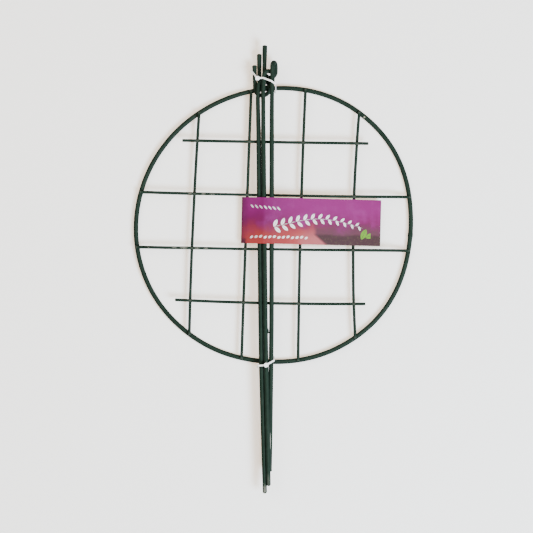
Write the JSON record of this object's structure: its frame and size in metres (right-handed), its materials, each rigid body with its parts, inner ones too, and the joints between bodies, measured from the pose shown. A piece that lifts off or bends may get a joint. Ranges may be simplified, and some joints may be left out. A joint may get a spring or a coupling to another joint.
{
  "type": "grow-through plant grid",
  "caption": "Flat grow-through plant support: a coated wire hoop with a welded grid, hooked stakes tied across it and a card sleeve.",
  "frame": {"origin": "on the surface that the part lies on, under the middle of its outline", "axes": "+X to the right across the grid, +Y along the stakes towards their hooks, +Z out of the front of the grid"},
  "size_m": [0.395, 0.632, 0.0339],
  "materials": {
    "green_coating": "satin",
    "white_nylon": "satin",
    "printed_card": "matt print"
  },
  "bodies": {
    "grid": {"ring": "green_coating", "upright_wire_1": "green_coating", "upright_wire_2": "green_coating", "upright_wire_3": "green_coating", "upright_wire_4": "green_coating", "crossbar_top": "green_coating", "crossbar_upper": "green_coating", "crossbar_lower": "green_coating", "crossbar_bottom": "green_coating", "cable_tie_top": "white_nylon", "cable_tie_bottom": "white_nylon"},
    "left_leg": {"leg_left": "green_coating"},
    "middle_leg": {"leg_middle": "green_coating"},
    "right_leg": {"leg_right": "green_coating"},
    "sleeve": {"label_card": "printed_card"}
  },
  "joints": [
    {"name": "left_leg_slide", "type": "slide", "parent": "grid", "child": "left_leg", "axis": [-0.0113, 0.9999, 0], "range_m": [-0.0005, 0.0004]},
    {"name": "middle_leg_slide", "type": "slide", "parent": "grid", "child": "middle_leg", "axis": [-0.0109, 0.9999, 0.004], "range_m": [-0.0028, 0]},
    {"name": "right_leg_slide", "type": "slide", "parent": "grid", "child": "right_leg", "axis": [0.0014, 0.9994, 0.0333], "range_m": [0, 0.01]},
    {"name": "sleeve_slide", "type": "slide", "parent": "grid", "child": "sleeve", "axis": [0.0236, 0.9997, 0], "range_m": [-0.0035, 0.0008]}
  ]
}
